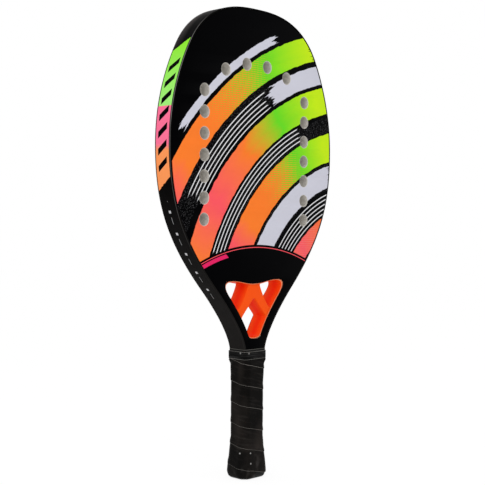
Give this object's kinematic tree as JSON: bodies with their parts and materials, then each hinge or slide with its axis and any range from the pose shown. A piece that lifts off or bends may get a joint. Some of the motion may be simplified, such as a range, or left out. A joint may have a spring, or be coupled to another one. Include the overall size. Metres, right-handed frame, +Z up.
{
  "type": "beach tennis racket",
  "caption": "Solid-faced paddle racket with a drilled oval head, an open braced throat and a short taped handle with a flared butt.",
  "frame": {"origin": "centre of the flat bottom of the butt cap, with the racket standing upright on it", "axes": "+Z up from the butt to the crown, X across the face, front face towards -Y"},
  "size_m": [0.2446, 0.0352, 0.5],
  "materials": {
    "frame_laminate": "gloss",
    "printed_face": "gloss print",
    "core_foam": "matte foam",
    "orange_insert": "satin",
    "filler_foam": "matte foam",
    "handle_plastic": "matte",
    "cap_plastic": "satin",
    "collar_rubber": "matte",
    "grip_tape": "satin tape",
    "finishing_tape": "satin tape"
  },
  "bodies": {
    "root": {"frame_tube": "frame_laminate", "core_foam": "core_foam", "front_skin": "printed_face", "back_skin": "printed_face", "throat_bridge": "frame_laminate", "throat_insert": "orange_insert", "neck_block": "filler_foam", "handle_core": "filler_foam", "left_pallet": "handle_plastic", "right_pallet": "handle_plastic", "butt_cap": "cap_plastic", "cord_eyelet": "cap_plastic", "grip_collar": "collar_rubber", "grip_tape": "grip_tape", "finishing_tape": "finishing_tape"}
  },
  "joints": []
}
